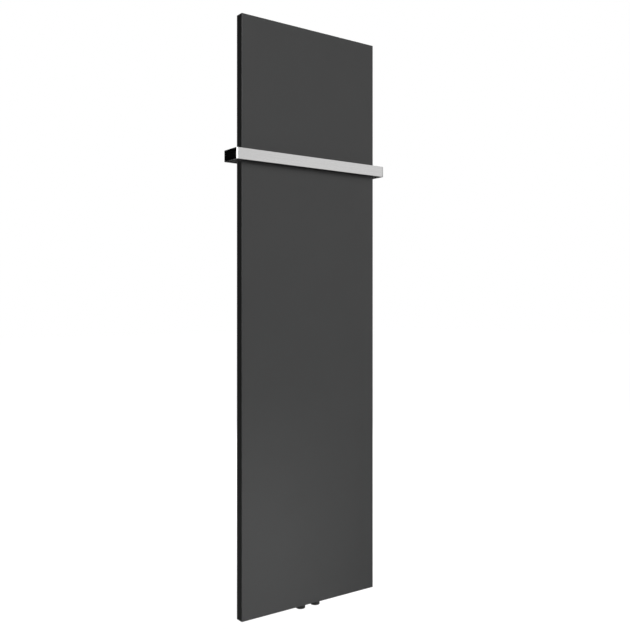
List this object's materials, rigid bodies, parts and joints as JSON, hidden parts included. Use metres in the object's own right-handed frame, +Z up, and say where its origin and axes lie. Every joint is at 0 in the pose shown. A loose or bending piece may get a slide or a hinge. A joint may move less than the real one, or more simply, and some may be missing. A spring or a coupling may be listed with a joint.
{
  "type": "vertical panel radiator",
  "caption": "Tall flat-fronted central heating radiator with a wrap-round towel rail, hung on wall hooks and fed by two threaded sockets under its middle.",
  "frame": {"origin": "midway between the towel rail's front and the wall, on the centre line, level with the mouths of the two pipe sockets", "axes": "+Z up, -Y out into the room, +Y to the wall, +X to the right seen from the room"},
  "size_m": [0.502, 0.09, 1.61],
  "materials": {
    "powder_coat": "smooth satin anthracite powder coat",
    "bracket_coat": "satin anthracite powder coat",
    "brushed_rail": "finely brushed along its length",
    "stainless_screw": "plain stainless",
    "zinc_plate": "bright zinc plate",
    "nickel_brass": "nickel-plated brass",
    "seal_rubber": "matt",
    "nozzle_plastic": "moulded white",
    "liner_plastic": "moulded black"
  },
  "bodies": {
    "wall_hooks": {"wall_bracket_lower_left": "bracket_coat", "wall_bracket_lower_right": "bracket_coat", "wall_bracket_upper_left": "bracket_coat", "wall_bracket_upper_right": "bracket_coat", "bracket_liners": "liner_plastic"},
    "radiator": {"front_panel": "powder_coat", "top_header": "powder_coat", "bottom_header": "powder_coat", "header_end_caps": "powder_coat", "flow_divider": "powder_coat", "supply_socket": "powder_coat", "return_socket": "powder_coat", "vent_boss": "powder_coat", "rear_rail_left": "powder_coat", "rear_rail_right": "powder_coat", "rail_spacers": "powder_coat", "water_tube_1": "powder_coat", "water_tube_2": "powder_coat", "water_tube_3": "powder_coat", "water_tube_4": "powder_coat", "water_tube_5": "powder_coat", "water_tube_6": "powder_coat", "hanger_nuts": "zinc_plate", "hanger_bolts": "zinc_plate", "vent_plug": "nickel_brass", "vent_seal": "seal_rubber"},
    "vent_spindle": {"vent_spindle": "nickel_brass"},
    "vent_nozzle": {"vent_nozzle": "nozzle_plastic"},
    "towel_rail": {"towel_rail": "brushed_rail"},
    "clamp_screw_left": {"clamp_screw_left": "stainless_screw"},
    "clamp_screw_right": {"clamp_screw_right": "stainless_screw"},
    "clamp_nut_left": {"clamp_nut_left": "zinc_plate"},
    "clamp_nut_right": {"clamp_nut_right": "zinc_plate"}
  },
  "joints": [
    {"name": "radiator_lift", "type": "slide", "parent": "wall_hooks", "child": "radiator", "axis": [0, 0, 1], "range_m": [0, 0.014]},
    {"name": "towel_rail_slide", "type": "slide", "parent": "radiator", "child": "towel_rail", "axis": [0, 0, 1], "range_m": [-0.97, 0.17]},
    {"name": "vent_spindle_turn", "type": "hinge", "parent": "radiator", "child": "vent_spindle", "pos_m": [0.175, -0.0105, 1.6], "axis": [0, 0, 1], "range_deg": [0, 540]},
    {"name": "vent_nozzle_turn", "type": "hinge", "parent": "radiator", "child": "vent_nozzle", "pos_m": [0.175, -0.0105, 1.6], "axis": [0, 0, 1], "continuous": true},
    {"name": "clamp_screw_left_turn", "type": "hinge", "parent": "towel_rail", "child": "clamp_screw_left", "pos_m": [-0.15, 0.022, 1.237], "axis": [0, 1, 0], "range_deg": [0, 720]},
    {"name": "clamp_nut_left_travel", "type": "slide", "parent": "towel_rail", "child": "clamp_nut_left", "axis": [0, -1, 0], "range_m": [0, 0.002]},
    {"name": "clamp_screw_right_turn", "type": "hinge", "parent": "towel_rail", "child": "clamp_screw_right", "pos_m": [0.15, 0.022, 1.237], "axis": [0, 1, 0], "range_deg": [0, 720]},
    {"name": "clamp_nut_right_travel", "type": "slide", "parent": "towel_rail", "child": "clamp_nut_right", "axis": [0, -1, 0], "range_m": [0, 0.002]}
  ],
  "couplings": [
    {"joint": "clamp_screw_left_turn", "follows": "clamp_nut_left_travel", "rad_per_m": 6283.2},
    {"joint": "clamp_screw_right_turn", "follows": "clamp_nut_right_travel", "rad_per_m": 6283.2}
  ]
}
